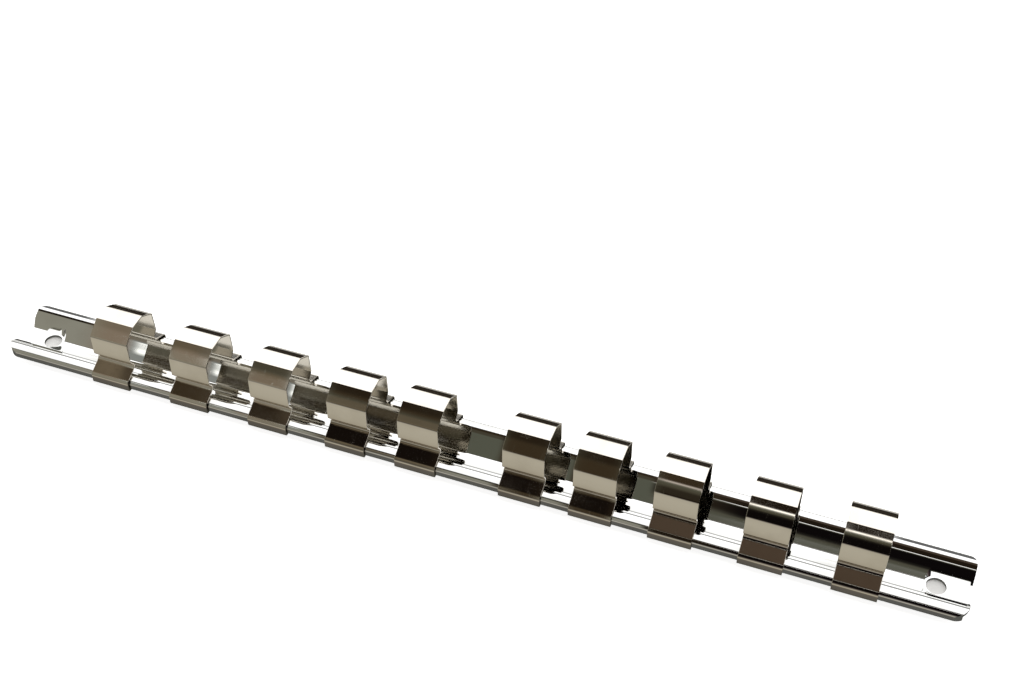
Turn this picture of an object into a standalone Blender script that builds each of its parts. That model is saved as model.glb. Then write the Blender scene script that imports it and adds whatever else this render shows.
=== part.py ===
"""Socket rail: a bent steel channel with ten spring clips that slide along it.

The rail is one strip of sheet. Its middle is a wide trough whose floor lies on the wall or bench,
with a flat seat pressed into it at each end for a screw. The trough's walls rise to two crests,
and the flanges slope down from there to turned lips. Each clip is one strip of spring steel: a
square head for a socket's drive hole, a neck over the trough, and two feet that run down over the
flanges and hook under the lips.

Frame: X along the rail, Y across it, Z up from the underside of the floor.
"""

import math

import bmesh
import bpy
from mathutils import Vector

MM = 0.001

# Rail: the sheet and its section, measured on the upper face of the metal
RAIL_LENGTH = 254.0 * MM
RAIL_WIDTH = 18.6 * MM
RAIL_SHEET = 0.8 * MM
FLOOR_WIDTH = 1.6 * MM
SHOULDER_RUN = 1.85 * MM
SHOULDER_HEIGHT = 3.85 * MM
FLANGE_RUN = 2.25 * MM
CREST_HEIGHT = 4.85 * MM
LIP_CORNER_HEIGHT = 4.0 * MM
LIP_EDGE_HEIGHT = 1.9 * MM
FLOOR_BEND = 0.8 * MM
SHOULDER_BEND = 0.5 * MM
CREST_BEND = 0.5 * MM
LIP_BEND = 0.4 * MM
CORNER_RADIUS = 3.3 * MM

# Screw holes: one near each end, in a flat seat that is round at the hole and open at the rail's end
HOLE_DIAMETER = 4.8 * MM
HOLE_INSET = 8.0 * MM
SEAT_WIDTH = 5.8 * MM
SEAT_SLOPE = math.radians(58.0)

# Clips: the strip and the head that holds a 12.7 mm square drive. The shoulders lie under the top, the
# bellies over the crests
CLIP_WIDTH = 10.8 * MM
CLIP_SHEET = 0.4 * MM
CLIP_HEIGHT = 18.0 * MM
HEAD_TOP_WIDTH = 4.4 * MM
SHOULDER_WIDTH = 13.1 * MM
SHOULDER_DROP = 2.9 * MM
BELLY_WIDTH = 13.6 * MM
BELLY_RISE = 4.25 * MM
NECK_WIDTH = 10.2 * MM
HOOK_LENGTH = 1.4 * MM
HEAD_BEND = 0.3 * MM
NECK_BEND = 0.4 * MM
FOOT_BEND = 0.4 * MM
RUNNING_GAP = 0.3 * MM
CREST_GAP = 0.55 * MM

# Places of the clips' middles, as shares of the rail's length from its middle
CLIP_PLACE_SHARES = (-0.3735, -0.2827, -0.1937, -0.1084, -0.0332, 0.0753, 0.1464, 0.2250, 0.3114, 0.3991)

# Modelling: how finely arcs are divided, and how far a cutter runs past what it cuts
BEND_STEP = math.radians(15.0)
ROUND_STEPS = 48
SHARP_ANGLE = math.radians(35.0)
CUT_OVERRUN = 2.0 * MM

CHROME_COLOUR = (0.80, 0.80, 0.80, 1.0)
CHROME_ROUGHNESS = 0.10
NICKEL_COLOUR = (0.70, 0.65, 0.56, 1.0)
NICKEL_ROUGHNESS = 0.16


def clear_scene():
    """Remove every object, so that only the socket rail is left."""
    for item in list(bpy.data.objects):
        bpy.data.objects.remove(item, do_unlink=True)


def metal(name, colour, roughness):
    """Return a bare metal finish."""
    finish = bpy.data.materials.new(name)
    finish.use_nodes = True
    shader = finish.node_tree.nodes["Principled BSDF"]
    shader.inputs["Base Color"].default_value = colour
    shader.inputs["Metallic"].default_value = 1.0
    shader.inputs["Roughness"].default_value = roughness
    finish.diffuse_color = colour
    return finish


def left_of(direction):
    """Return the direction turned a quarter turn to the left, in the Y-Z plane."""
    return Vector((-direction.y, direction.x))


def mirrored(half):
    """Complete a half section, listed outward from the middle, with its mirror image."""
    other = [(Vector((-point.x, point.y)), bend) for point, bend in reversed(half)]
    return other + half


def bent_sheet(corners, thickness):
    """Follow a sheet round its bends.

    Each corner is a point (y, z) of the sheet's upper face, where its flat runs would meet, with
    the radius on the inside of the bend. The sheet runs towards +Y and its back lies on the right.
    Returns the points of the upper face, each with the point behind it on the back.
    """
    pairs = []
    first, last = corners[0][0], corners[-1][0]
    start_side = left_of((corners[1][0] - first).normalized())
    pairs.append((first, first - start_side * thickness))
    for index in range(1, len(corners) - 1):
        corner, inside_radius = corners[index]
        arriving = (corner - corners[index - 1][0]).normalized()
        leaving = (corners[index + 1][0] - corner).normalized()
        turn = math.atan2(arriving.x * leaving.y - arriving.y * leaving.x, arriving.dot(leaving))
        side = math.copysign(1.0, turn)
        radius = inside_radius if turn > 0.0 else inside_radius + thickness
        tangent = radius * math.tan(abs(turn) / 2.0)
        centre = corner - arriving * tangent + left_of(arriving) * radius * side
        steps = max(2, math.ceil(abs(turn) / BEND_STEP))
        for step in range(steps + 1):
            angle = turn * step / steps
            cosine, sine = math.cos(angle), math.sin(angle)
            heading = Vector((arriving.x * cosine - arriving.y * sine, arriving.x * sine + arriving.y * cosine))
            face = centre - left_of(heading) * radius * side
            pairs.append((face, face - left_of(heading) * thickness))
    end_side = left_of((last - corners[-2][0]).normalized())
    pairs.append((last, last - end_side * thickness))
    return pairs


def new_object(name, mesh_data, finish=None):
    """Turn a bmesh into an object of the scene, with its round faces shaded smooth."""
    bmesh.ops.recalc_face_normals(mesh_data, faces=mesh_data.faces)
    mesh = bpy.data.meshes.new(name)
    mesh_data.to_mesh(mesh)
    mesh_data.free()
    mesh.shade_smooth()
    mesh.set_sharp_from_angle(angle=SHARP_ANGLE)
    if finish is not None:
        mesh.materials.append(finish)
    item = bpy.data.objects.new(name, mesh)
    bpy.context.scene.collection.objects.link(item)
    return item


def extrude_faces(mesh_data, faces, offset):
    """Thicken flat faces into solids by an offset."""
    result = bmesh.ops.extrude_face_region(mesh_data, geom=faces)
    moved = [item for item in result["geom"] if isinstance(item, bmesh.types.BMVert)]
    bmesh.ops.translate(mesh_data, verts=moved, vec=offset)


def sheet_length(pairs, length):
    """Extrude a bent sheet's section along X, middle on the origin."""
    mesh_data = bmesh.new()
    rows = []
    for pair in pairs:
        rows.append([mesh_data.verts.new((-length / 2.0, point.x, point.y)) for point in pair])
    faces = []
    for (face, back), (next_face, next_back) in zip(rows, rows[1:]):
        faces.append(mesh_data.faces.new((face, next_face, next_back, back)))
    extrude_faces(mesh_data, faces, Vector((length, 0.0, 0.0)))
    return mesh_data


def cutter(name, mesh_data):
    """Make a guide solid that shapes another and isn't part of the product."""
    item = new_object(name, mesh_data)
    item.display_type = "WIRE"
    item.hide_render = True
    return item


def combine(item, other, operation):
    """Shape one object by another with a Boolean."""
    modifier = item.modifiers.new(other.name, "BOOLEAN")
    modifier.operation = operation
    modifier.solver = "EXACT"
    modifier.object = other


def crest_place():
    """Return how far a crest's corner stands from the middle line."""
    return RAIL_WIDTH / 2.0 - FLANGE_RUN


def end_places():
    """Return the X of the two screw holes."""
    middle = RAIL_LENGTH / 2.0 - HOLE_INSET
    return (-middle, middle)


def discs(diameter, bottom, top):
    """Return one upright cylinder at each screw hole."""
    mesh_data = bmesh.new()
    for place in end_places():
        ring = []
        for step in range(ROUND_STEPS):
            angle = 2.0 * math.pi * step / ROUND_STEPS
            across = Vector((math.cos(angle), math.sin(angle), 0.0)) * (diameter / 2.0)
            ring.append(mesh_data.verts.new(across + Vector((place, 0.0, bottom))))
        extrude_faces(mesh_data, [mesh_data.faces.new(ring)], Vector((0.0, 0.0, top - bottom)))
    return mesh_data


def seat_solids(half_width, bottom, top, reach):
    """Return one solid at each end that widens upward as a seat does.

    It is round at the screw hole and runs straight from there to a reach past the rail's end.
    """
    mesh_data = bmesh.new()
    spread = (top - bottom) / math.tan(SEAT_SLOPE)
    for side in (-1.0, 1.0):
        rings = []
        for radius, height in ((half_width, bottom), (half_width + spread, top)):
            outline = []
            for step in range(ROUND_STEPS // 2 + 1):
                angle = math.pi * (0.5 + 2.0 * step / ROUND_STEPS)
                outline.append(Vector((math.cos(angle), math.sin(angle))) * radius)
            outline += [Vector((HOLE_INSET + reach, -radius)), Vector((HOLE_INSET + reach, radius))]
            middle = RAIL_LENGTH / 2.0 - HOLE_INSET
            rings.append([mesh_data.verts.new(((middle + p.x) * side, p.y, height)) for p in outline])
        low, high = rings
        mesh_data.faces.new(low)
        mesh_data.faces.new(high)
        for index in range(len(low)):
            after = (index + 1) % len(low)
            mesh_data.faces.new((low[index], low[after], high[after], high[index]))
    return mesh_data


def corner_prisms():
    """Return four upright prisms that leave the rail's corners round in plan."""
    mesh_data = bmesh.new()
    steps = ROUND_STEPS // 4
    for x_side in (-1.0, 1.0):
        for y_side in (-1.0, 1.0):
            outline = []
            centre = Vector((RAIL_LENGTH / 2.0 - CORNER_RADIUS, RAIL_WIDTH / 2.0 - CORNER_RADIUS))
            for step in range(steps + 1):
                angle = math.pi / 2.0 * step / steps
                outline.append(centre + Vector((math.cos(angle), math.sin(angle))) * CORNER_RADIUS)
            beyond = Vector((RAIL_LENGTH / 2.0 + CUT_OVERRUN, RAIL_WIDTH / 2.0 + CUT_OVERRUN))
            outline += [Vector((centre.x, beyond.y)), beyond, Vector((beyond.x, centre.y))]
            ring = [mesh_data.verts.new((p.x * x_side, p.y * y_side, -CUT_OVERRUN)) for p in outline]
            rise = Vector((0.0, 0.0, CREST_HEIGHT + 2.0 * CUT_OVERRUN))
            extrude_faces(mesh_data, [mesh_data.faces.new(ring)], rise)
    return mesh_data


def rail_section():
    """Return the rail's bent sheet: floor, walls, shoulders, crests, sloping flanges and turned lips."""
    half = [
        (Vector((FLOOR_WIDTH / 2.0, RAIL_SHEET)), FLOOR_BEND),
        (Vector((crest_place() - SHOULDER_RUN, SHOULDER_HEIGHT)), SHOULDER_BEND),
        (Vector((crest_place(), CREST_HEIGHT)), CREST_BEND),
        (Vector((RAIL_WIDTH / 2.0, LIP_CORNER_HEIGHT)), LIP_BEND),
        (Vector((RAIL_WIDTH / 2.0, LIP_EDGE_HEIGHT)), 0.0),
    ]
    return bent_sheet(mirrored(half), RAIL_SHEET)


def trough_space(section):
    """Return the space over the middle of the sheet's thickness, between the two crests."""
    middles = [(face + back) / 2.0 for face, back in section]
    inside = [point for point in middles if abs(point.x) < crest_place()]
    outline = inside + [Vector((inside[-1].x, CREST_HEIGHT + CUT_OVERRUN))]
    outline.append(Vector((inside[0].x, CREST_HEIGHT + CUT_OVERRUN)))
    start = -RAIL_LENGTH / 2.0 - CUT_OVERRUN
    mesh_data = bmesh.new()
    ring = [mesh_data.verts.new((start, point.x, point.y)) for point in outline]
    extrude_faces(mesh_data, [mesh_data.faces.new(ring)], Vector((-2.0 * start, 0.0, 0.0)))
    return mesh_data


def build_rail(finish):
    """Bend the rail, press the two screw seats, round its corners and pierce the holes."""
    section = rail_section()
    rail = new_object("rail", sheet_length(section, RAIL_LENGTH), finish)

    half_width = SEAT_WIDTH / 2.0
    outer = half_width + RAIL_SHEET * math.tan(SEAT_SLOPE / 2.0)
    seats = cutter("seat_metal", seat_solids(outer, 0.0, CREST_HEIGHT, 0.0))
    combine(seats, cutter("trough_space", trough_space(section)), "DIFFERENCE")
    combine(rail, seats, "UNION")
    pockets = seat_solids(half_width, RAIL_SHEET, CREST_HEIGHT, CUT_OVERRUN)
    combine(rail, cutter("seat_pockets", pockets), "DIFFERENCE")

    combine(rail, cutter("round_corners", corner_prisms()), "DIFFERENCE")
    holes = discs(HOLE_DIAMETER, -CUT_OVERRUN, RAIL_SHEET + CUT_OVERRUN)
    combine(rail, cutter("screw_holes", holes), "DIFFERENCE")
    return rail


def foot_slope_height(y):
    """Return the height of a clip foot's upper face over the rail's flange, at a distance from its middle."""
    flange_slope = (LIP_CORNER_HEIGHT - CREST_HEIGHT) / FLANGE_RUN
    over_lip = LIP_CORNER_HEIGHT + (RUNNING_GAP + CLIP_SHEET) * math.hypot(1.0, flange_slope)
    over_crest = CREST_HEIGHT + CREST_GAP + CLIP_SHEET
    return over_lip + (y - RAIL_WIDTH / 2.0) * (over_lip - over_crest) / FLANGE_RUN


def clip_section():
    """Return a clip's bent strip: head, shoulders, sprung sides, neck, feet and hooks."""
    foot = RAIL_WIDTH / 2.0 + RUNNING_GAP + CLIP_SHEET
    hook_height = LIP_EDGE_HEIGHT - RUNNING_GAP - CLIP_SHEET
    half = [
        (Vector((HEAD_TOP_WIDTH / 2.0, CLIP_HEIGHT)), HEAD_BEND),
        (Vector((SHOULDER_WIDTH / 2.0, CLIP_HEIGHT - SHOULDER_DROP)), HEAD_BEND),
        (Vector((BELLY_WIDTH / 2.0, CREST_HEIGHT + BELLY_RISE)), HEAD_BEND),
        (Vector((NECK_WIDTH / 2.0, foot_slope_height(NECK_WIDTH / 2.0))), NECK_BEND),
        (Vector((foot, foot_slope_height(foot))), FOOT_BEND),
        (Vector((foot, hook_height)), FOOT_BEND),
        (Vector((foot - HOOK_LENGTH, hook_height)), 0.0),
    ]
    return bent_sheet(mirrored(half), CLIP_SHEET)


def build_clips(rail, finish):
    """Bend one clip and thread copies of it on the rail, each with its origin on the rail's middle line."""
    first = None
    for number, share in enumerate(CLIP_PLACE_SHARES, start=1):
        name = f"clip_{number:02d}"
        if first is None:
            clip = new_object(name, sheet_length(clip_section(), CLIP_WIDTH), finish)
            first = clip
        else:
            clip = bpy.data.objects.new(name, first.data)
            bpy.context.scene.collection.objects.link(clip)
        clip.parent = rail
        clip.location = (share * RAIL_LENGTH, 0.0, 0.0)


def main():
    """Build the socket rail."""
    clear_scene()
    rail = build_rail(metal("rail_chrome", CHROME_COLOUR, CHROME_ROUGHNESS))
    build_clips(rail, metal("clip_nickel", NICKEL_COLOUR, NICKEL_ROUGHNESS))


main()
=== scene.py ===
"""Socket rail: the visible surfaces, finishes, studio and camera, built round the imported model.

The rail and the ten clips are bent sheet, so each is a strip swept along its own bent section. The
sections are written in millimetres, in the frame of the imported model: X along the rail, Y across it,
Z up from the underside of the floor.
"""

import logging
import math
from collections.abc import Callable
from dataclasses import dataclass
from enum import Enum
from functools import partial

import bmesh
import bpy
from mathutils import Matrix, Vector


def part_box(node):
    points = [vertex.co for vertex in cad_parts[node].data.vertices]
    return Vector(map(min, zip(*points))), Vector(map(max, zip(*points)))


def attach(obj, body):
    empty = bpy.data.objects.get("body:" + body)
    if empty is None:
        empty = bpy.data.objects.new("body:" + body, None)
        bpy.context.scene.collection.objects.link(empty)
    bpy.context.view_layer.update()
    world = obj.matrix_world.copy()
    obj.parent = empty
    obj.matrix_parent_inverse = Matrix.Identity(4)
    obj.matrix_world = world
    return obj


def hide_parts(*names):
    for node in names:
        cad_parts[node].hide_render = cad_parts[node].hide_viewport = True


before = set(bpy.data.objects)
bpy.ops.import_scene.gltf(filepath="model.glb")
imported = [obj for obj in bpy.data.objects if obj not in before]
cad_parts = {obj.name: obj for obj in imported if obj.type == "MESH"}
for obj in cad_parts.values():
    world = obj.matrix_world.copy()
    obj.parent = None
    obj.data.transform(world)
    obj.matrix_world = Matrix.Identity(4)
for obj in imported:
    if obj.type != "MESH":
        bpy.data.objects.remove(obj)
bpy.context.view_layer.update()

LOG = logging.getLogger("socket_rail")
MM = 0.001
SIDES = (-1.0, 1.0)

# How finely a bend is drawn, and how far from it a point holds the flat run straight.
BEND_STEP = math.radians(3.0)
LEAST_STEPS = 8
HOLD_DISTANCE = 0.12 * MM

# How a strip's surface is finished.
EDGE_FACETS = 2
WELD_DISTANCE = 0.002 * MM
SHARP_ANGLE = math.radians(12.0)
LARGEST_WEIGHT = 100

# How far a face's normal has to lean before the face counts as looking that way.
DOWNWARD = 0.05
UPWARD = 0.3
ENDWARD = 0.9

Tree = bpy.types.NodeTree
Socket = bpy.types.NodeSocket
Triple = tuple[float, float, float]
Colour = Triple
Stops = tuple[tuple[float, Colour], ...]
Section = list[tuple[Vector, float]]
Ring = list[Triple]


class Slot(Enum):
    """Names for the two material slots; the build doesn't use them."""

    CHROME = "rail_chrome"
    NICKEL = "clip_nickel"


class Cut(Enum):
    """What a shaping solid does to the sheet."""

    ADD = "UNION"
    REMOVE = "DIFFERENCE"


# ---------------------------------------------------------------- sections and meshes


def left_of(direction: Vector) -> Vector:
    """Turn a direction of the Y-Z plane a quarter turn to the left.

    Args:
        direction: A direction (y, z).

    Returns:
        The turned direction.
    """
    return Vector((-direction.y, direction.x))


def mirrored(half: Section) -> Section:
    """Complete a half section, listed outward from the middle.

    Args:
        half: Corners (y, z) with their inside bend radii.

    Returns:
        The corners of the whole section, from -Y to +Y.
    """
    return [(Vector((-point.x, point.y)), bend) for point, bend in reversed(half)] + half


def bowed(first: Vector, last: Vector, bow: float) -> Vector:
    """Return the middle of a run that stands out from its chord.

    Args:
        first: Where the run starts.
        last: Where it ends.
        bow: How far its middle stands out to the left of the chord.

    Returns:
        The point (y, z).
    """
    return (first + last) / 2.0 + left_of((last - first).normalized()) * bow


def bent_path(corners: Section, thickness: float) -> list[Vector]:
    """Follow the middle of a sheet round its bends.

    Args:
        corners: Points (y, z) of the sheet's upper face where its flat runs would meet, each with
            the radius on the inside of its bend.
        thickness: The sheet's thickness.

    Returns:
        Points (y, z) along the middle of the sheet, with a holding point next to each bend.
    """
    first, last = corners[0][0], corners[-1][0]
    start_side = left_of((corners[1][0] - first).normalized())
    path = [first - start_side * thickness / 2.0]
    for index in range(1, len(corners) - 1):
        corner, inside_radius = corners[index]
        arriving = (corner - corners[index - 1][0]).normalized()
        leaving = (corners[index + 1][0] - corner).normalized()
        turn = math.atan2(arriving.x * leaving.y - arriving.y * leaving.x, arriving.dot(leaving))
        side = math.copysign(1.0, turn)
        radius = inside_radius if turn > 0.0 else inside_radius + thickness
        tangent = radius * math.tan(abs(turn) / 2.0)
        centre = corner - arriving * tangent + left_of(arriving) * radius * side
        steps = max(LEAST_STEPS, math.ceil(abs(turn) / BEND_STEP))
        arc = []
        for step in range(steps + 1):
            angle = turn * step / steps
            cosine, sine = math.cos(angle), math.sin(angle)
            ahead = arriving.x * cosine - arriving.y * sine
            heading = Vector((ahead, arriving.x * sine + arriving.y * cosine))
            arc.append(centre - left_of(heading) * (radius * side + thickness / 2.0))
        path += [arc[0] - arriving * HOLD_DISTANCE, *arc, arc[-1] + leaving * HOLD_DISTANCE]
    end_side = left_of((last - corners[-2][0]).normalized())
    path.append(last - end_side * thickness / 2.0)
    return path


def section_path(section: Section, sheet: float) -> list[Vector]:
    """Follow the middle of a sheet whose section is written in millimetres.

    Args:
        section: The corners of its section.
        sheet: Its thickness, in millimetres.

    Returns:
        Points (y, z), in metres.
    """
    return bent_path([(point * MM, bend * MM) for point, bend in section], sheet * MM)


def link(name: str, mesh: bpy.types.Mesh) -> bpy.types.Object:
    """Put a mesh into the scene as an object at the origin.

    Args:
        name: The object's name.
        mesh: Its mesh.

    Returns:
        The object.
    """
    item = bpy.data.objects.new(name, mesh)
    bpy.context.scene.collection.objects.link(item)
    return item


def make_plain(item: bpy.types.Object) -> None:
    """Turn an object, with its modifiers, into a plain mesh and remove them.

    Args:
        item: The object. It keeps its name and gets the new mesh.
    """
    graph = bpy.context.evaluated_depsgraph_get()
    mesh = bpy.data.meshes.new_from_object(item.evaluated_get(graph), depsgraph=graph)
    item.modifiers.clear()
    item.data = mesh
    mesh.name = item.name


def loft(name: str, rings: list[Ring]) -> bpy.types.Object:
    """Make a closed solid through rings of points.

    Args:
        name: The object's name.
        rings: Two or more rings, each with as many points (x, y, z), in millimetres.

    Returns:
        The solid.
    """
    data = bmesh.new()
    rows = [[data.verts.new(Vector(point) * MM) for point in ring] for ring in rings]
    count = len(rows[0])
    for lower, upper in zip(rows, rows[1:]):
        for index in range(count):
            after = (index + 1) % count
            data.faces.new((lower[index], lower[after], upper[after], upper[index]))
    data.faces.new(rows[0])
    data.faces.new(rows[-1])
    bmesh.ops.recalc_face_normals(data, faces=data.faces)
    mesh = bpy.data.meshes.new(name)
    data.to_mesh(mesh)
    data.free()
    return link(name, mesh)


def shape(item: bpy.types.Object, other: bpy.types.Object, cut: Cut) -> None:
    """Shape one solid by another, and drop the other.

    Args:
        item: The solid that stays.
        other: The solid that shapes it.
        cut: Whether it adds or removes.
    """
    modifier = item.modifiers.new(other.name, "BOOLEAN")
    modifier.operation = cut.value
    modifier.solver = "EXACT"
    modifier.object = other
    make_plain(item)
    bpy.data.objects.remove(other)


# ---------------------------------------------------------------- shader nodes


def add_node(tree: Tree, kind: str, **settings: object) -> bpy.types.Node:
    """Add a node and set its properties.

    Args:
        tree: The tree that gets it.
        kind: The node's type.
        settings: Properties of the node.

    Returns:
        The node.
    """
    item = tree.nodes.new(kind)
    for key, value in settings.items():
        setattr(item, key, value)
    return item


def feed(tree: Tree, socket: Socket, value: Socket | float | Colour) -> None:
    """Give an input its value.

    Args:
        tree: The tree.
        socket: The input.
        value: An output to join it to, a number or a colour.
    """
    if isinstance(value, Socket):
        tree.links.new(value, socket)
    else:
        socket.default_value = (*value, 1.0) if isinstance(value, tuple) else value


def math_node(tree: Tree, operation: str, *values: Socket | float) -> Socket:
    """Work a value out from others.

    Args:
        tree: The tree.
        operation: What is done.
        values: One or two sockets or numbers.

    Returns:
        The result.
    """
    item = add_node(tree, "ShaderNodeMath", operation=operation)
    for socket, value in zip(item.inputs, values):
        feed(tree, socket, value)
    return item.outputs[0]


def map_range(
    tree: Tree,
    value: Socket,
    low: float,
    high: float,
    kind: str = "LINEAR",
    result: tuple[float, float] = (0.0, 1.0),
) -> Socket:
    """Turn one range of a value into another.

    Args:
        tree: The tree.
        value: The value.
        low: Where the range starts.
        high: Where it ends.
        kind: How the result goes from one end to the other.
        result: What the two ends become.

    Returns:
        The result, clamped.
    """
    item = add_node(tree, "ShaderNodeMapRange", interpolation_type=kind)
    keys = ("Value", "From Min", "From Max", "To Min", "To Max")
    for key, given in zip(keys, (value, low, high, *result)):
        feed(tree, item.inputs[key], given)
    return item.outputs["Result"]


def mix_colours(tree: Tree, share: Socket, first: Socket | Colour, second: Socket | Colour) -> Socket:
    """Blend one colour into another.

    Args:
        tree: The tree.
        share: How much there is of the second.
        first: The first colour.
        second: The second.

    Returns:
        The blend.
    """
    item = add_node(tree, "ShaderNodeMix", data_type="RGBA")
    for key, value in (("Factor", share), ("A", first), ("B", second)):
        feed(tree, item.inputs[key], value)
    return item.outputs["Result"]


def mix_shaders(tree: Tree, share: Socket, first: bpy.types.Node, second: bpy.types.Node) -> bpy.types.Node:
    """Blend one shader into another.

    Args:
        tree: The tree.
        share: How much there is of the second.
        first: The first shader's node.
        second: The second shader's node.

    Returns:
        The blend's node.
    """
    item = add_node(tree, "ShaderNodeMixShader")
    for socket, value in zip(item.inputs, (share, first.outputs[0], second.outputs[0])):
        tree.links.new(value, socket)
    return item


def bands(tree: Tree, place: Socket, stops: Stops) -> Socket:
    """Colour something by a place along it.

    Args:
        tree: The tree.
        place: The place, from nought to one.
        stops: Rising places, each with its colour.

    Returns:
        The colour.
    """
    ramp = add_node(tree, "ShaderNodeValToRGB")
    elements = ramp.color_ramp.elements
    while len(elements) > 1:
        elements.remove(elements[0])
    for index, (where, colour) in enumerate(stops):
        element = elements[0] if index == 0 else elements.new(where)
        element.position = where
        element.color = (*colour, 1.0)
    tree.links.new(place, ramp.inputs["Fac"])
    return ramp.outputs["Color"]


# ---------------------------------------------------------------- finishes


@dataclass(frozen=True)
class Grain:
    """How a noise looks.

    Fields:
        stretch: Factors on X, Y and Z before it is read. A small one draws it out along that axis.
        detail: Its levels of detail.
    """

    stretch: Triple
    detail: float


FINE_LINES = Grain((0.004, 1.0, 1.0), 2.0)
BROAD_LINES = Grain((0.02, 0.16, 0.16), 1.0)
FINE_LINES_SHARE = 0.65
CLOUDS = Grain((1.0, 1.0, 1.0), 4.0)
CLOUD_RANGE = (0.47, 0.70)
LONG_SCRATCHES = Grain((0.10, 2.4, 1.0), 1.0)
CROSS_SCRATCHES = Grain((1.6, 0.12, 0.6), 1.0)
SCRATCH_LEVEL = 0.5
SCRATCH_BREADTH = 0.006
BREAKS = Grain((1.0, 1.0, 1.0), 2.0)
BREAKS_PER_METRE = 300.0
BREAK_RANGE = (0.55, 0.66)
WAVES = Grain((0.6, 1.0, 1.0), 0.0)


class ShaderGroup:
    """A shader node group with named inputs and outputs, built once and shared by the finishes."""

    def __init__(self, name: str, inputs: dict[str, float], outputs: tuple[str, ...]) -> None:
        """Start an empty group.

        Args:
            name: The group's name.
            inputs: Its inputs and their usual values.
            outputs: Its outputs, all single values.
        """
        self.tree = bpy.data.node_groups.new(name, "ShaderNodeTree")
        face = self.tree.interface
        for key, value in inputs.items():
            socket = face.new_socket(key, in_out="INPUT", socket_type="NodeSocketFloat")
            socket.default_value = value
        for key in outputs:
            face.new_socket(key, in_out="OUTPUT", socket_type="NodeSocketFloat")
        self.inputs = add_node(self.tree, "NodeGroupInput").outputs
        self.outputs = add_node(self.tree, "NodeGroupOutput").inputs
        self.place = add_node(self.tree, "ShaderNodeTexCoord").outputs["Object"]

    def noise(self, grain: Grain, scale: Socket | float) -> Socket:
        """Add a noise on the object's coordinates.

        Args:
            grain: How it looks.
            scale: How many spots it has per metre, a socket or a number.

        Returns:
            The noise's value.
        """
        mapping = add_node(self.tree, "ShaderNodeMapping")
        mapping.inputs["Scale"].default_value = grain.stretch
        feed(self.tree, mapping.inputs["Vector"], self.place)
        item = add_node(self.tree, "ShaderNodeTexNoise")
        feed(self.tree, item.inputs["Vector"], mapping.outputs[0])
        feed(self.tree, item.inputs["Scale"], scale)
        feed(self.tree, item.inputs["Detail"], grain.detail)
        return item.outputs["Fac"]


def drawn_lines_group() -> Tree:
    """Fine straight lines that rolling and bending leave along a strip.

    Returns:
        The group. Its input "Lines per metre" sets their spacing and "Height" is what they stand out.
    """
    group = ShaderGroup("drawn_lines", {"Lines per metre": 4000.0}, ("Height",))
    scale = group.inputs["Lines per metre"]
    times = partial(math_node, group.tree, "MULTIPLY")
    fine = times(group.noise(FINE_LINES, scale), FINE_LINES_SHARE)
    broad = times(group.noise(BROAD_LINES, scale), 1.0 - FINE_LINES_SHARE)
    feed(group.tree, group.outputs["Height"], math_node(group.tree, "ADD", fine, broad))
    return group.tree


def handling_marks_group() -> Tree:
    """Smudges from handling and thin scratches, as masks.

    Returns:
        The group, with the outputs "Smudge" and "Scratch".
    """
    spacings = {"Smudges per metre": 90.0, "Scratches per metre": 260.0}
    group = ShaderGroup("handling_marks", spacings, ("Smudge", "Scratch"))
    tree = group.tree
    cloud = group.noise(CLOUDS, group.inputs["Smudges per metre"])
    feed(tree, group.outputs["Smudge"], map_range(tree, cloud, *CLOUD_RANGE))
    thin = []
    for grain in (LONG_SCRATCHES, CROSS_SCRATCHES):
        noise = group.noise(grain, group.inputs["Scratches per metre"])
        distance = math_node(tree, "ABSOLUTE", math_node(tree, "SUBTRACT", noise, SCRATCH_LEVEL))
        beside = map_range(tree, distance, 0.0, SCRATCH_BREADTH)
        thin.append(math_node(tree, "SUBTRACT", 1.0, beside))
    breaks = map_range(tree, group.noise(BREAKS, BREAKS_PER_METRE), *BREAK_RANGE)
    scratch = math_node(tree, "MULTIPLY", math_node(tree, "MAXIMUM", *thin), breaks)
    feed(tree, group.outputs["Scratch"], scratch)
    return tree


def sheet_waves_group() -> Tree:
    """Slow waves that a press leaves in flat sheet, as a height.

    Returns:
        The group.
    """
    group = ShaderGroup("sheet_waves", {"Waves per metre": 60.0}, ("Height",))
    feed(group.tree, group.outputs["Height"], group.noise(WAVES, group.inputs["Waves per metre"]))
    return group.tree


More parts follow.
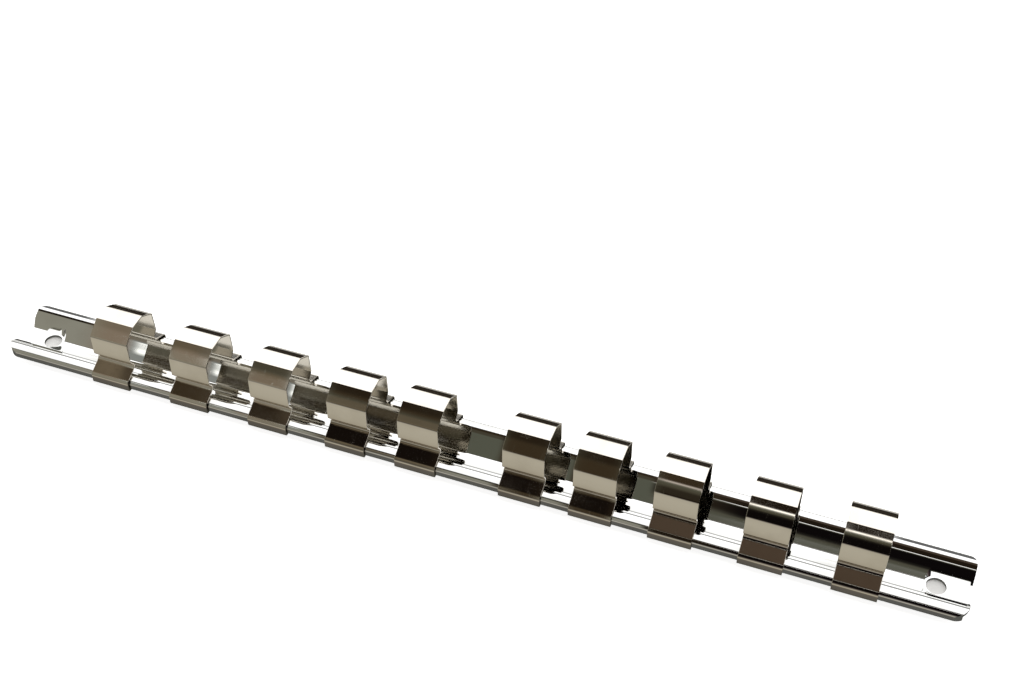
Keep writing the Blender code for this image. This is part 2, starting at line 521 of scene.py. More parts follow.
@dataclass(frozen=True)
class PlatedFinish:
    """A bright plated metal.

    Fields:
        name: The material's name.
        colour: The colour of the clean plating.
        dull_colour: The colour where it's smudged or cut.
        shaded_inner_colour: The colour on the inside of the bent strip, darker than the plating as painted
            shade.
        painted_line_colour: The colour of thin dark lines painted along bends as painted reflection.
        roughness: Of the clean plating.
        smudge_roughness: Added where it's smudged.
        inner_roughness: Added on the inside of the strip, which is plated but not polished.
        line_height: Depth of the drawn lines, in millimetres.
        wave_height: Height of the slow waves, in millimetres.
        lines_per_metre: Spacing of the drawn lines.
        smudge_share: How much a smudge dulls the colour.
        cut_share: How much a cut edge dulls it.
        scratch_roughness: Added where it's scratched.
        cut_roughness: Added on the cut edges.
        scratch_depth: How deep a scratch is, in drawn lines.
    """

    name: str
    colour: Colour
    dull_colour: Colour
    shaded_inner_colour: Colour
    painted_line_colour: Colour
    roughness: float
    smudge_roughness: float
    inner_roughness: float
    line_height: float
    wave_height: float
    lines_per_metre: float
    smudge_share: float = 0.35
    cut_share: float = 0.8
    scratch_roughness: float = 0.10
    cut_roughness: float = 0.22
    scratch_depth: float = 1.5

    def build(self, groups: dict[str, Tree]) -> bpy.types.Material:
        """Make the material.

        Args:
            groups: The shared shader groups by name.

        Returns:
            The material.
        """
        finish = bpy.data.materials.new(self.name)
        finish.use_nodes = True
        tree = finish.node_tree
        shader = tree.nodes["Principled BSDF"].inputs
        shader["Metallic"].default_value = 1.0
        times = partial(math_node, tree, "MULTIPLY")
        plus = partial(math_node, tree, "ADD")
        lines, marks, waves = (
            add_node(tree, "ShaderNodeGroup", node_tree=groups[key])
            for key in ("drawn_lines", "handling_marks", "sheet_waves")
        )
        lines.inputs["Lines per metre"].default_value = self.lines_per_metre
        smudge, scratch = marks.outputs["Smudge"], marks.outputs["Scratch"]
        cut, inner, press = (
            add_node(tree, "ShaderNodeAttribute", attribute_name=key).outputs["Fac"]
            for key in ("cut_edge", "shaded_inner_face", "painted_bend_line")
        )

        dulling = math_node(tree, "MAXIMUM", times(smudge, self.smudge_share), times(cut, self.cut_share))
        # The inside of the strip, and the rail's downward faces, get a darker colour as painted shade.
        colour = mix_colours(tree, inner, self.colour, self.shaded_inner_colour)
        colour = mix_colours(tree, dulling, colour, self.dull_colour)
        # Thin dark lines along the rail's front bends are painted reflection.
        feed(tree, shader["Base Color"], mix_colours(tree, press, colour, self.painted_line_colour))

        rough = plus(times(smudge, self.smudge_roughness), self.roughness)
        rough = plus(rough, times(scratch, self.scratch_roughness))
        rough = plus(rough, times(cut, self.cut_roughness))
        rough = plus(rough, times(inner, self.inner_roughness))
        feed(tree, shader["Roughness"], rough)

        line_height = self.line_height * MM
        height = times(lines.outputs["Height"], line_height)
        height = plus(height, times(waves.outputs["Height"], self.wave_height * MM))
        depth = times(scratch, line_height * self.scratch_depth)
        bump = add_node(tree, "ShaderNodeBump")
        feed(tree, bump.inputs["Distance"], 1.0)
        feed(tree, bump.inputs["Height"], math_node(tree, "SUBTRACT", height, depth))
        feed(tree, shader["Normal"], bump.outputs["Normal"])
        return finish


# Each finish's inner colour is painted shade for the inside of its strip.
CHROME = PlatedFinish(
    name="rail_chrome_plate",
    colour=(0.86, 0.86, 0.85),
    dull_colour=(0.62, 0.61, 0.58),
    shaded_inner_colour=(0.60, 0.60, 0.59),
    # The dark colour of the lines painted along the front bends, as painted reflection.
    painted_line_colour=(0.22, 0.22, 0.21),
    roughness=0.02,
    smudge_roughness=0.03,
    inner_roughness=0.20,
    line_height=0.00015,
    wave_height=0.005,
    lines_per_metre=5000.0,
)
NICKEL = PlatedFinish(
    name="clip_nickel_plate",
    colour=(0.80, 0.75, 0.67),
    dull_colour=(0.56, 0.51, 0.43),
    shaded_inner_colour=(0.46, 0.43, 0.37),
    painted_line_colour=(0.40, 0.37, 0.32),
    roughness=0.035,
    smudge_roughness=0.05,
    inner_roughness=0.07,
    line_height=0.0003,
    wave_height=0.009,
    lines_per_metre=4200.0,
)


# ---------------------------------------------------------------- bent strips


class StripTree:
    """The Geometry Nodes tree that sweeps a flat strip along a bent section."""

    INPUTS = (
        ("Strip width", "Float"),
        ("Thickness", "Float"),
        ("Edge radius", "Float"),
        ("Finish", "Material"),
    )

    def __init__(self) -> None:
        """Build the tree, with named inputs for the strip's sizes and its material."""
        self.tree = bpy.data.node_groups.new("bent_strip", "GeometryNodeTree")
        face = self.tree.interface
        face.new_socket("Geometry", in_out="INPUT", socket_type="NodeSocketGeometry")
        self.sockets = [
            face.new_socket(key, in_out="INPUT", socket_type=f"NodeSocket{kind}").identifier
            for key, kind in self.INPUTS
        ]
        face.new_socket("Geometry", in_out="OUTPUT", socket_type="NodeSocketGeometry")
        nodes, join = self.tree.nodes, self.tree.links.new
        source = nodes.new("NodeGroupInput")
        result = nodes.new("NodeGroupOutput")
        path = nodes.new("GeometryNodeMeshToCurve")
        profile = nodes.new("GeometryNodeCurvePrimitiveQuadrilateral")
        rounded = add_node(self.tree, "GeometryNodeFilletCurve", mode="POLY")
        rounded.inputs["Count"].default_value = EDGE_FACETS
        across = nodes.new("ShaderNodeSeparateXYZ")
        # Faces on the inside of the strip are marked for the painted shade that the finish gives them.
        inside = add_node(self.tree, "FunctionNodeCompare", operation="LESS_THAN")
        mark = add_node(self.tree, "GeometryNodeStoreNamedAttribute", data_type="FLOAT")
        mark.inputs["Name"].default_value = "shaded_inner_face"
        sweep = nodes.new("GeometryNodeCurveToMesh")
        sweep.inputs["Fill Caps"].default_value = True
        smooth = nodes.new("GeometryNodeSetShadeSmooth")
        real = nodes.new("GeometryNodeRealizeInstances")
        dress = nodes.new("GeometryNodeSetMaterial")
        join(source.outputs["Geometry"], path.inputs["Mesh"])
        join(source.outputs["Strip width"], profile.inputs["Width"])
        join(source.outputs["Thickness"], profile.inputs["Height"])
        join(profile.outputs["Curve"], rounded.inputs["Curve"])
        join(source.outputs["Edge radius"], rounded.inputs["Radius"])
        join(path.outputs["Curve"], sweep.inputs["Curve"])
        join(nodes.new("GeometryNodeInputPosition").outputs[0], across.inputs[0])
        join(across.outputs["Y"], inside.inputs["A"])
        join(inside.outputs["Result"], mark.inputs["Value"])
        join(rounded.outputs["Curve"], mark.inputs["Geometry"])
        join(mark.outputs["Geometry"], sweep.inputs["Profile Curve"])
        join(sweep.outputs["Mesh"], smooth.inputs["Geometry"])
        join(smooth.outputs["Geometry"], real.inputs["Geometry"])
        join(real.outputs["Geometry"], dress.inputs["Geometry"])
        join(source.outputs["Finish"], dress.inputs["Material"])
        join(dress.outputs["Geometry"], result.inputs["Geometry"])

    def sweep(
        self,
        name: str,
        section: Section,
        middle: float,
        sizes: Triple,
        finish: bpy.types.Material,
    ) -> bpy.types.Object:
        """Sweep one strip and weld it.

        Args:
            name: The piece's name.
            section: The corners of its section, in millimetres.
            middle: X of the strip's middle, in metres.
            sizes: The strip's width along X, its thickness and the radius of its edges, in millimetres.
            finish: Its material.

        Returns:
            The piece, a plain mesh with its place in its points.
        """
        path = section_path(section, sizes[1])
        frame = bpy.data.meshes.new(name)
        points = [(middle, point.x, point.y) for point in path]
        frame.from_pydata(points, [(index, index + 1) for index in range(len(points) - 1)], [])
        item = link(name, frame)
        modifier = item.modifiers.new("bent_strip", "NODES")
        modifier.node_group = self.tree
        for identifier, value in zip(self.sockets, (*(size * MM for size in sizes), finish)):
            modifier[identifier] = value
        make_plain(item)
        bpy.data.meshes.remove(frame)
        data = bmesh.new()
        data.from_mesh(item.data)
        bmesh.ops.remove_doubles(data, verts=data.verts, dist=WELD_DISTANCE)
        bmesh.ops.recalc_face_normals(data, faces=data.faces)
        data.to_mesh(item.data)
        data.free()
        return item


def mark_faces(mesh: bpy.types.Mesh, name: str, test: Callable[[bpy.types.MeshPolygon], bool]) -> None:
    """Write a mark of nought or one on each face, for the finish to read.

    Args:
        mesh: The mesh.
        name: The mark's name. Where the mesh has such a mark already, it is replaced.
        test: Tells whether a face gets the mark.
    """
    if name in mesh.attributes:
        mesh.attributes.remove(mesh.attributes[name])
    attribute = mesh.attributes.new(name, "FLOAT", "FACE")
    attribute.data.foreach_set("value", [float(test(face)) for face in mesh.polygons])


def looks_down(face: bpy.types.MeshPolygon) -> bool:
    """Tell whether a face looks down."""
    return face.normal.z < -DOWNWARD


def looks_endward(face: bpy.types.MeshPolygon) -> bool:
    """Tell whether a face looks along the rail, as a strip's cut edges do."""
    return abs(face.normal.x) > ENDWARD


def place_piece(item: bpy.types.Object, node: str) -> None:
    """Finish a piece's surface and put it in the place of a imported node.

    Cut edges are marked, creases kept sharp and normals weighed, so that flat runs look flat.

    Args:
        item: A piece whose shape is final.
        node: The node, which is also its body.
    """
    item.data.shade_smooth()
    item.data.set_sharp_from_angle(angle=SHARP_ANGLE)
    mark_faces(item.data, "cut_edge", looks_endward)
    weights = item.modifiers.new("flat_runs", "WEIGHTED_NORMAL")
    weights.keep_sharp = True
    weights.weight = LARGEST_WEIGHT
    make_plain(item)
    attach(item, node)
    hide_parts(node)


# ---------------------------------------------------------------- the rail


@dataclass
class Rail:
    """The bent channel. Lengths are in millimetres, heights from the underside of the floor."""

    length: float = 254.0
    width: float = 18.6
    sheet: float = 0.8
    edge_radius: float = 0.1
    floor_width: float = 1.6
    wall_hollow: float = 0.07
    face_bow: float = 0.03
    shoulder_run: float = 1.85
    shoulder_height: float = 3.85
    flange_run: float = 2.25
    crest_height: float = 4.85
    lip_corner_height: float = 4.0
    lip_edge_height: float = 1.9
    floor_bend: float = 0.8
    wall_bend: float = 40.0
    face_bend: float = 3.0
    shoulder_bend: float = 5.0
    crest_bend: float = 0.5
    lip_bend: float = 0.4
    corner_radius: float = 3.3
    hole_diameter: float = 4.8
    hole_inset: float = 8.0
    seat_width: float = 5.8
    seat_slope: float = math.radians(58.0)
    overrun: float = 2.0
    round_steps: int = 96
    # Bands of Y, in millimetres, where dark lines are painted along the front bends as painted reflection.
    painted_bend_lines: tuple[tuple[float, float], ...] = ((-7.05, -6.68), (-5.55, -4.9))

    def crest_place(self) -> float:
        """Return how far a crest's corner stands from the middle line."""
        return self.width / 2.0 - self.flange_run

    def hole_place(self) -> float:
        """Return how far a screw hole stands from the rail's middle."""
        return self.length / 2.0 - self.hole_inset

    def section(self) -> Section:
        """Work out the bent section.

        Returns:
            The corners of the upper face, each with its inside bend radius.
        """
        foot = Vector((self.floor_width / 2.0, self.sheet))
        shoulder = Vector((self.crest_place() - self.shoulder_run, self.shoulder_height))
        crest = Vector((self.crest_place(), self.crest_height))
        half = [
            (foot, self.floor_bend),
            (bowed(foot, shoulder, -self.wall_hollow), self.wall_bend),
            (shoulder, self.shoulder_bend),
            (bowed(shoulder, crest, self.face_bow), self.face_bend),
            (crest, self.crest_bend),
            (Vector((self.width / 2.0, self.lip_corner_height)), self.lip_bend),
            (Vector((self.width / 2.0, self.lip_edge_height)), 0.0),
        ]
        return mirrored(half)

    def slot_ring(self, side: float, radius: float, height: float) -> Ring:
        """Return the outline of a seat: round at the hole, open at the rail's end.

        Args:
            side: -1 for the left end, 1 for the right.
            radius: Half the seat's width.
            height: Its height.

        Returns:
            Points (x, y, z).
        """
        steps = self.round_steps // 2
        angles = [math.pi * (0.5 + step / steps) for step in range(steps + 1)]
        beyond = self.length / 2.0 + self.overrun
        outline = [(self.hole_place() + radius * math.cos(a), radius * math.sin(a)) for a in angles]
        outline += [(beyond, -radius), (beyond, radius)]
        return [(side * x, y, height) for x, y in outline]

    def seat_solid(self, name: str, side: float, half_width: float, bottom: float) -> bpy.types.Object:
        """Return a solid that widens upward as a seat does, from a bottom to the crests' height.

        Args:
            name: Its name.
            side: -1 for the left end, 1 for the right.
            half_width: Half its width at the bottom.
            bottom: Height of its bottom.

        Returns:
            The solid.
        """
        spread = (self.crest_height - bottom) / math.tan(self.seat_slope)
        low = self.slot_ring(side, half_width, bottom)
        return loft(name, [low, self.slot_ring(side, half_width + spread, self.crest_height)])

    def screw_hole(self, side: float) -> bpy.types.Object:
        """Return what a screw hole removes.

        Args:
            side: -1 for the left end, 1 for the right.

        Returns:
            The solid.
        """
        radius = self.hole_diameter / 2.0
        middle = side * self.hole_place()
        angles = [2.0 * math.pi * step / self.round_steps for step in range(self.round_steps)]
        circle = [(middle + radius * math.cos(a), radius * math.sin(a)) for a in angles]
        heights = (-self.overrun, self.crest_height + self.overrun)
        return loft("screw_hole", [[(x, y, z) for x, y in circle] for z in heights])

    def trough_space(self) -> bpy.types.Object:
        """Return the space over the sheet, between the crests.

        Returns:
            The solid.
        """
        path = section_path(self.section(), self.sheet)
        inside = [point / MM for point in path if abs(point.x) < self.crest_place() * MM]
        top = self.crest_height + self.overrun
        outline = [(p.x, p.y) for p in inside] + [(inside[-1].x, top), (inside[0].x, top)]
        beyond = self.length / 2.0 + self.overrun
        return loft("trough_space", [[(x, y, z) for y, z in outline] for x in (-beyond, beyond)])

    def end_block(self, side: float) -> bpy.types.Object:
        """Return what lies beyond one end of the rail.

        Args:
            side: -1 for the left end, 1 for the right.

        Returns:
            The solid.
        """
        far, low = self.width, -self.overrun
        outline = [(-far, low), (far, low), (far, far), (-far, far)]
        end = self.length / 2.0
        places = (side * end, side * (end + 2.0 * self.overrun))
        return loft("end_block", [[(x, y, z) for y, z in outline] for x in places])

    def corner_solid(self, x_side: float, y_side: float) -> bpy.types.Object:
        """Return what is cut away outside one round corner.

        Args:
            x_side: -1 for the left end, 1 for the right.
            y_side: -1 for the front, 1 for the back.

        Returns:
            The solid.
        """
        steps, radius = self.round_steps // 4, self.corner_radius
        centre_x, centre_y = self.length / 2.0 - radius, self.width / 2.0 - radius
        far_x, far_y = self.length / 2.0 + self.overrun, self.width / 2.0 + self.overrun
        angles = [math.pi / 2.0 * step / steps for step in range(steps + 1)]
        outline = [(centre_x + radius * math.cos(a), centre_y + radius * math.sin(a)) for a in angles]
        outline += [(centre_x, far_y), (far_x, far_y), (far_x, centre_y)]
        heights = (-self.overrun, self.crest_height + self.overrun)
        return loft("corner", [[(x * x_side, y * y_side, z) for x, y in outline] for z in heights])

    def on_painted_bend_line(self, face: bpy.types.MeshPolygon) -> bool:
        """Tell whether a face is on a thin line along the front bends, which gets a painted dark reflection
        line.
        """
        place = face.center.y / MM
        return face.normal.z > UPWARD and any(low < place < high for low, high in self.painted_bend_lines)

    def build(self, strip: StripTree, finish: bpy.types.Material) -> bpy.types.Object:
        """Bend the channel, press its seats, pierce its holes and round its corners.

        Args:
            strip: The sweeping tree.
            finish: Its material.

        Returns:
            The rail.
        """
        sizes = (self.length, self.sheet, self.edge_radius)
        item = strip.sweep("rail_channel", self.section(), 0.0, sizes, finish)
        inner = self.seat_width / 2.0
        outer = inner + self.sheet * math.tan(self.seat_slope / 2.0)
        for side in SIDES:
            metal = self.seat_solid("seat_metal", side, outer, 0.0)
            shape(metal, self.trough_space(), Cut.REMOVE)
            shape(metal, self.end_block(side), Cut.REMOVE)
            shape(item, metal, Cut.ADD)
            shape(item, self.seat_solid("seat_pocket", side, inner, self.sheet), Cut.REMOVE)
            shape(item, self.screw_hole(side), Cut.REMOVE)
            for y_side in SIDES:
                shape(item, self.corner_solid(side, y_side), Cut.REMOVE)
        # Downward faces count as the inside and get its painted shade.
        mark_faces(item.data, "shaded_inner_face", looks_down)
        mark_faces(item.data, "painted_bend_line", self.on_painted_bend_line)
        place_piece(item, "rail")
        return item


# ---------------------------------------------------------------- the clips


@dataclass
class Clip:
    """One spring clip, bent to sit on a rail. Lengths are in millimetres."""

    rail: Rail
    width: float = 10.8
    sheet: float = 0.4
    edge_radius: float = 0.08
    height: float = 18.0
    head_top_width: float = 4.4
    shoulder_width: float = 13.1
    shoulder_drop: float = 2.9
    belly_width: float = 13.6
    belly_drop: float = 8.9
    neck_width: float = 10.2
    hook_length: float = 1.4
    chamfer_bow: float = 0.10
    chamfer_bend: float = 25.0
    top_bend: float = 0.6
    head_bend: float = 0.15
    neck_bend: float = 0.9
    foot_bend: float = 1.0
    hook_bend: float = 0.4
    running_gap: float = 0.3
    crest_gap: float = 0.55

    def ramp_height(self, across: float) -> float:
        """Return the height of a foot's upper face at a distance from the middle.

        Args:
            across: The distance, in millimetres.

        Returns:
            The height over the underside of the rail.
        """
        rail = self.rail
        slope = (rail.lip_corner_height - rail.crest_height) / rail.flange_run
        over_lip = rail.lip_corner_height + (self.running_gap + self.sheet) * math.hypot(1.0, slope)
        over_crest = rail.crest_height + self.crest_gap + self.sheet
        return over_lip + (across - rail.width / 2.0) * (over_lip - over_crest) / rail.flange_run

    def section(self) -> Section:
        """Work out the bent section.

        Returns:
            The corners of the outer face, each with its inside bend radius.
        """
        foot = self.rail.width / 2.0 + self.running_gap + self.sheet
        hook = self.rail.lip_edge_height - self.running_gap - self.sheet
        neck = self.neck_width / 2.0
        edge = Vector((self.head_top_width / 2.0, self.height))
        shoulder = Vector((self.shoulder_width / 2.0, self.height - self.shoulder_drop))
        half = [
            (edge, self.top_bend),
            (bowed(edge, shoulder, self.chamfer_bow), self.chamfer_bend),
            (shoulder, self.head_bend),
            (Vector((self.belly_width / 2.0, self.height - self.belly_drop)), self.head_bend),
            (Vector((neck, self.ramp_height(neck))), self.neck_bend),
            (Vector((foot, self.ramp_height(foot))), self.foot_bend),
            (Vector((foot, hook)), self.hook_bend),
            (Vector((foot - self.hook_length, hook)), 0.0),
        ]
        return mirrored(half)

    def build(self, strip: StripTree, node: str, finish: bpy.types.Material) -> bpy.types.Object:
        """Bend one clip where its node stands.

        Args:
            strip: The sweeping tree.
            node: The clip's node, which is also its body.
            finish: Its material.

        Returns:
            The clip.
        """
        low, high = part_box(node)
        sizes = (self.width, self.sheet, self.edge_radius)
        item = strip.sweep(f"{node}_strip", self.section(), (low.x + high.x) / 2.0, sizes, finish)
        place_piece(item, node)
        return item


# ---------------------------------------------------------------- studio and camera


@dataclass(frozen=True)
class SkyStrip:
    """How the sky looks over a range of X, from the horizon behind to the one in front.

    Fields:
        first: The least X of the directions that it holds for. Between two strips the sky fades.
        last: The greatest X.
        stops: Angles in degrees round X, rising, each with its colour: 0 is the horizon behind the
            rail, 90 is overhead and 180 the horizon on the camera's side.
    """

    first: float
    last: float
    stops: Stops

    def places(self) -> Stops:
        """Return the stops with their angles as shares of a full turn, from -180 to 180 degrees."""
        return tuple((angle / 360.0 + 0.5, colour) for angle, colour in self.stops)


PURE_WHITE = (1.0, 1.0, 1.0)
BRIGHT = (1.60, 1.60, 1.60)
WHITE = (1.25, 1.25, 1.25)
HAZE = (0.14, 0.14, 0.14)
GREY = (0.27, 0.26, 0.21)
BROWN = (0.25, 0.205, 0.16)
UMBER = (0.16, 0.13, 0.09)
DUSK = (0.075, 0.07, 0.05)
EARTH = (0.045, 0.032, 0.018)
SOOT = (0.015, 0.010, 0.006)
BLACK = (0.004, 0.003, 0.003)
GLEAM = (1.80, 1.78, 1.74)
GLINT = (0.60, 0.55, 0.52)
COCOA = (0.080, 0.058, 0.042)
OLIVE = (0.095, 0.098, 0.072)
SLATE = (0.25, 0.26, 0.24)
LAMP = (1.45, 1.46, 1.38)
PLUM = (0.10, 0.075, 0.07)

# The rear and overhead part of the sky, which all strips share but for their horizon.
CEILING = ((36.0, BRIGHT), (80.0, BRIGHT), (92.0, WHITE), (97.0, WHITE))
ABOVE = ((0.0, HAZE), (2.5, HAZE), (5.0, WHITE), (20.0, WHITE), *CEILING)
END_ABOVE = ((0.0, HAZE), (13.0, HAZE), (16.0, WHITE), *CEILING)

# The part on the camera's side, one look for each way it is tinted.
SHADOW = ((98.5, SOOT), (106.5, SOOT), (109.5, GREY), (180.0, GREY))
WARM = ((98.5, UMBER), (110.0, UMBER), (117.0, BROWN), (126.0, BROWN), (130.0, GREY), (180.0, GREY))
TAWNY = ((98.5, EARTH), (110.0, EARTH), (114.0, UMBER), (119.0, BROWN), (130.0, GREY), (180.0, GREY))
SHADY = ((98.5, SOOT), (110.0, EARTH), (114.0, DUSK), (119.0, UMBER), (126.0, BROWN), (180.0, GREY))
SLATY = ((98.5, SOOT), (109.0, UMBER), (116.0, SLATE), (126.0, SLATE), (180.0, GREY))
LAMPLIT = (
    (98.5, SOOT), (109.0, UMBER), (117.0, SLATE), (118.4, SLATE),
    (120.4, LAMP), (122.6, LAMP), (124.6, SLATE), (180.0, GREY),
)
MOSSY = ((98.5, SOOT), (109.0, EARTH), (114.0, OLIVE), (124.0, OLIVE), (134.0, GREY), (180.0, GREY))
DARK = ((98.5, BLACK), (112.0, SOOT), (117.0, EARTH), (124.0, EARTH), (180.0, EARTH))
FADING = ((98.5, BLACK), (112.0, SOOT), (117.0, EARTH), (121.0, DUSK), (124.0, UMBER), (180.0, DUSK))
GLINTING = (
    (98.5, COCOA), (103.0, COCOA), (107.0, SOOT), (114.0, EARTH), (114.6, GLINT),
    (116.0, GLINT), (116.8, OLIVE), (120.5, DUSK), (123.0, SOOT), (180.0, SOOT),
)
GLEAMING = (
    (98.5, COCOA), (103.0, COCOA), (107.0, SOOT), (114.0, SOOT), (114.6, GLEAM), (116.0, GLEAM),
    (116.8, OLIVE), (119.6, DUSK), (121.2, BLACK), (170.0, BLACK), (175.0, PLUM), (180.0, PLUM),
)

SKY = (
    SkyStrip(-0.500, -0.500, END_ABOVE + SHADOW),
    SkyStrip(-0.482, -0.472, ABOVE + WARM),
    SkyStrip(-0.469, -0.469, ABOVE + SLATY),
    SkyStrip(-0.464, -0.459, ABOVE + LAMPLIT),
    SkyStrip(-0.450, -0.450, ABOVE + MOSSY),
    SkyStrip(-0.446, -0.425, ABOVE + TAWNY),
    SkyStrip(-0.422, -0.422, ABOVE + SLATY),
    SkyStrip(-0.418, -0.412, ABOVE + LAMPLIT),
    SkyStrip(-0.404, -0.404, ABOVE + MOSSY),
    SkyStrip(-0.399, -0.377, ABOVE + SHADY),
    SkyStrip(-0.374, -0.374, ABOVE + SLATY),
    SkyStrip(-0.370, -0.365, ABOVE + LAMPLIT),
    SkyStrip(-0.357, -0.357, ABOVE + MOSSY),
    SkyStrip(-0.345, -0.280, ABOVE + FADING),
    SkyStrip(-0.258, -0.236, ABOVE + MOSSY),
    SkyStrip(-0.231, -0.205, ABOVE + DARK),
    SkyStrip(-0.198, -0.187, ABOVE + MOSSY),
    SkyStrip(-0.183, -0.157, ABOVE + DARK),
    SkyStrip(-0.150, -0.134, ABOVE + MOSSY),
    SkyStrip(-0.128, -0.095, ABOVE + GLINTING),
    SkyStrip(-0.066, 0.015, ABOVE + GLEAMING),
    SkyStrip(0.035, 0.035, END_ABOVE + GLEAMING),
)


@dataclass
class Studio:
    """A pale table under a soft white sky, with a darker room on the camera's side.

    Fields:
        table_size: The table's side, in metres.
        table_colour: The table's own colour.
        glow: What is added to it for the eye, so that the ground is white.
        under_rail_shade_glow: What is added right under the rail, where it shows through the screw holes:
            less than the glow, as painted shade.
        under_rail_shade_reach: How far from the rail's middle the table shows through the holes and gets
        the painted shade, along the rail and across it, in millimetres.
        under_rail_shade_edge: Over how many millimetres the painted shade turns into the full glow.
        reflection: Painted reflection: the table as the plating mirrors it, by the distance Y in
            millimetres
        from the rail's middle: shaded close to the rail, beige in front of it and white behind it, with a
        dark band further behind.
        reflection_reach: A distance past the last of them.
    """

    table_size: float = 3.0
    table_colour: Colour = (0.80, 0.79, 0.77)
    glow: float = 0.88
    under_rail_shade_glow: float = 0.12
    under_rail_shade_reach: tuple[float, float] = (125.0, 3.5)
    under_rail_shade_edge: float = 1.0
    reflection: Stops = (
        (-34.0, (0.20, 0.19, 0.17)),
        (-24.0, (0.36, 0.34, 0.29)),
        (-19.6, (0.50, 0.48, 0.41)),
        (-16.2, (0.47, 0.45, 0.38)),
        (-14.7, (0.34, 0.30, 0.24)),
        (-13.0, (0.14, 0.13, 0.12)),
        (-11.0, (0.10, 0.10, 0.09)),
        (11.0, (0.10, 0.10, 0.09)),
        (18.0, (0.14, 0.14, 0.13)),
        (28.0, (1.15, 1.15, 1.12)),
        (42.0, (1.15, 1.15, 1.12)),
        (46.0, (0.03, 0.025, 0.02)),
        (96.0, (0.03, 0.025, 0.02)),
        (104.0, (1.15, 1.15, 1.12)),
    )
    reflection_reach: float = 120.0

    def table_finish(self) -> bpy.types.Material:
        """Make the table's finish: white to the eye but for painted shade under the rail, and, as painted
        reflection, paler behind the rail to what mirrors it.

        Returns:
            The material.
        """
        finish = bpy.data.materials.new("white_table")
        finish.use_nodes = True
        tree = finish.node_tree
        tree.nodes.clear()
        output = add_node(tree, "ShaderNodeOutputMaterial")
        cloth = add_node(tree, "ShaderNodeBsdfDiffuse")
        feed(tree, cloth.inputs["Color"], self.table_colour)
        place = add_node(tree, "ShaderNodeTexCoord").outputs["Object"]
        split = add_node(tree, "ShaderNodeSeparateXYZ")
        feed(tree, split.inputs[0], place)

        # Painted shade: right under the rail the glow is lower.
        hidden = []
        for axis, limit in zip(("X", "Y"), self.under_rail_shade_reach):
            aside = math_node(tree, "ABSOLUTE", split.outputs[axis])
            hidden.append(map_range(tree, aside, limit * MM, (limit + self.under_rail_shade_edge) * MM))
        beside = math_node(tree, "MAXIMUM", *hidden)
        glow = add_node(tree, "ShaderNodeEmission")
        strength = map_range(tree, beside, 0.0, 1.0, result=(self.under_rail_shade_glow, self.glow))
        feed(tree, glow.inputs["Strength"], strength)
        seen = add_node(tree, "ShaderNodeAddShader")
        feed(tree, seen.inputs[0], cloth.outputs[0])
        feed(tree, seen.inputs[1], glow.outputs[0])

        # Painted reflection: glossy rays see these colours instead of the table's own.
        reach = self.reflection_reach
        share = map_range(tree, split.outputs["Y"], -reach * MM, reach * MM)
        places = tuple((y / (2.0 * reach) + 0.5, colour) for y, colour in self.reflection)
        reflected = add_node(tree, "ShaderNodeEmission")
        feed(tree, reflected.inputs["Color"], bands(tree, share, places))

        path = add_node(tree, "ShaderNodeLightPath").outputs
        by_mirror = mix_shaders(tree, path["Is Glossy Ray"], cloth, reflected)
        by_eye = mix_shaders(tree, path["Is Camera Ray"], by_mirror, seen)
        feed(tree, output.inputs["Surface"], by_eye.outputs[0])
        return finish

    def table(self) -> bpy.types.Object:
        """Lay the table.

        Returns:
            The table.
        """
        half = self.table_size / 2.0
        corners = [(-half, -half, 0.0), (half, -half, 0.0), (half, half, 0.0), (-half, half, 0.0)]
        mesh = bpy.data.meshes.new("table")
        mesh.from_pydata(corners, [], [(0, 1, 2, 3)])
        mesh.materials.append(self.table_finish())
        item = link("table", mesh)
        return item

    def sky(self) -> None:
        """Light the scene with a sky that is white behind and above, and darker on the camera's side."""
        world = bpy.data.worlds.new("studio_sky")
        bpy.context.scene.world = world
        world.use_nodes = True
        tree = world.node_tree
        tree.nodes.clear()
        output = add_node(tree, "ShaderNodeOutputWorld")
        split = add_node(tree, "ShaderNodeSeparateXYZ")
        feed(tree, split.inputs[0], add_node(tree, "ShaderNodeTexCoord").outputs["Generated"])
        turn = math_node(tree, "ARCTAN2", split.outputs["Z"], split.outputs["Y"])
        share = map_range(tree, turn, -math.pi, math.pi)
        looks: dict[Stops, Socket] = {}
        for strip in SKY:
            if strip.stops not in looks:
                looks[strip.stops] = bands(tree, share, strip.places())
        seen = looks[SKY[0].stops]
        for before, strip in zip(SKY, SKY[1:]):
            fade = map_range(tree, split.outputs["X"], before.last, strip.first, "SMOOTHSTEP")
            seen = mix_colours(tree, fade, seen, looks[strip.stops])
        light = add_node(tree, "ShaderNodeBackground")
        feed(tree, light.inputs["Color"], seen)
        backdrop = add_node(tree, "ShaderNodeBackground")
        feed(tree, backdrop.inputs["Color"], PURE_WHITE)
        path = add_node(tree, "ShaderNodeLightPath").outputs
        by_eye = mix_shaders(tree, path["Is Camera Ray"], light, backdrop)
        feed(tree, output.inputs["Surface"], by_eye.outputs[0])


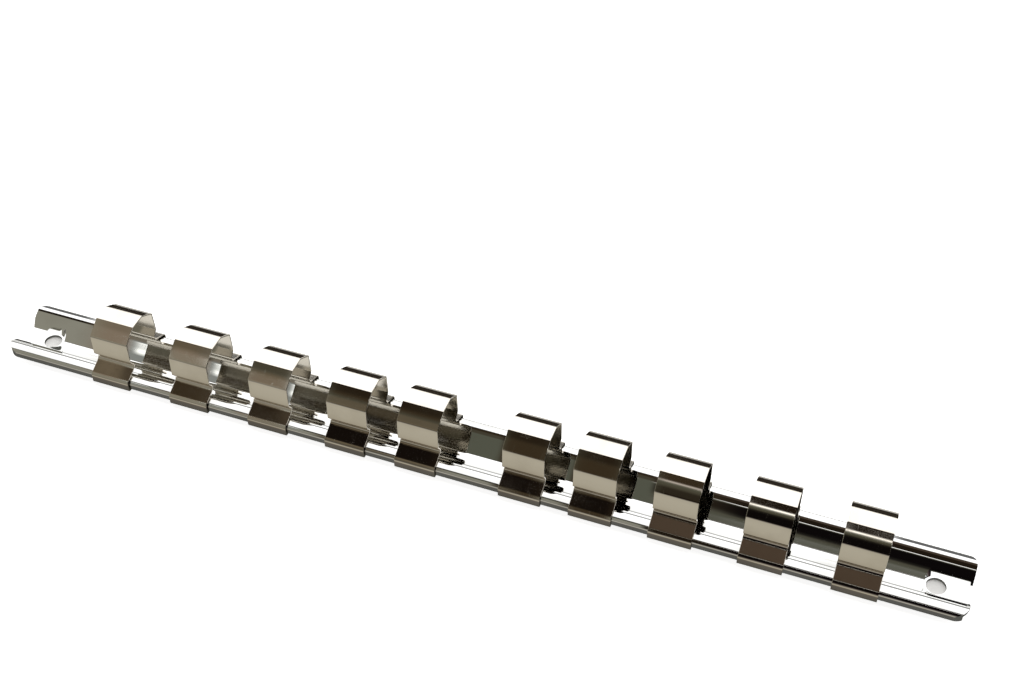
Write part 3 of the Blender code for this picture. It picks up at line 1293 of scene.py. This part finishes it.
@dataclass
class PhotoCamera:
    """The camera that took the photograph, as fitted to it. Angles in degrees, lengths in millimetres."""

    azimuth: float = -20.2415
    elevation: float = 44.9102
    roll: float = -0.2838
    place: Triple = (97.303, -225.877, 285.897)
    focal_pixels: float = 1485.65
    picture_width: float = 1024.0
    sensor_width: float = 36.0
    nearest: float = 10.0

    def build(self) -> bpy.types.Object:
        """Set the camera up.

        Returns:
            The camera.
        """
        azimuth, elevation, roll = (math.radians(v) for v in (self.azimuth, self.elevation, self.roll))
        flat = math.cos(elevation)
        forward = Vector((math.sin(azimuth) * flat, math.cos(azimuth) * flat, -math.sin(elevation)))
        level = Vector((math.cos(azimuth), -math.sin(azimuth), 0.0))
        upright = level.cross(forward)
        right = level * math.cos(roll) + upright * math.sin(roll)
        up = upright * math.cos(roll) - level * math.sin(roll)
        turned = Matrix((right, up, -forward)).transposed().to_4x4()
        data = bpy.data.cameras.new("photo_camera")
        data.sensor_fit = "HORIZONTAL"
        data.sensor_width = self.sensor_width
        data.lens = self.focal_pixels / self.picture_width * self.sensor_width
        data.clip_start = self.nearest * MM
        item = bpy.data.objects.new("photo_camera", data)
        bpy.context.scene.collection.objects.link(item)
        item.matrix_world = Matrix.Translation(Vector(self.place) * MM) @ turned
        bpy.context.scene.camera = item
        return item


def main() -> None:
    """Build the rail, its clips, the studio and the camera."""
    logging.basicConfig(level=logging.INFO, format="%(name)s: %(message)s")
    bpy.context.scene.view_settings.view_transform = "Standard"
    trees = (drawn_lines_group(), handling_marks_group(), sheet_waves_group())
    groups = {tree.name: tree for tree in trees}
    strip = StripTree()
    rail = Rail()
    piece = rail.build(strip, CHROME.build(groups))
    LOG.info("%s: %d faces", piece.name, len(piece.data.polygons))
    nickel = NICKEL.build(groups)
    clip = Clip(rail)
    for node in sorted(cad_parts):
        if node.startswith("clip_"):
            piece = clip.build(strip, node, nickel)
            LOG.info("%s: %d faces", piece.name, len(piece.data.polygons))
    studio = Studio()
    studio.table()
    studio.sky()
    PhotoCamera().build()


if __name__ == "__main__":
    main()
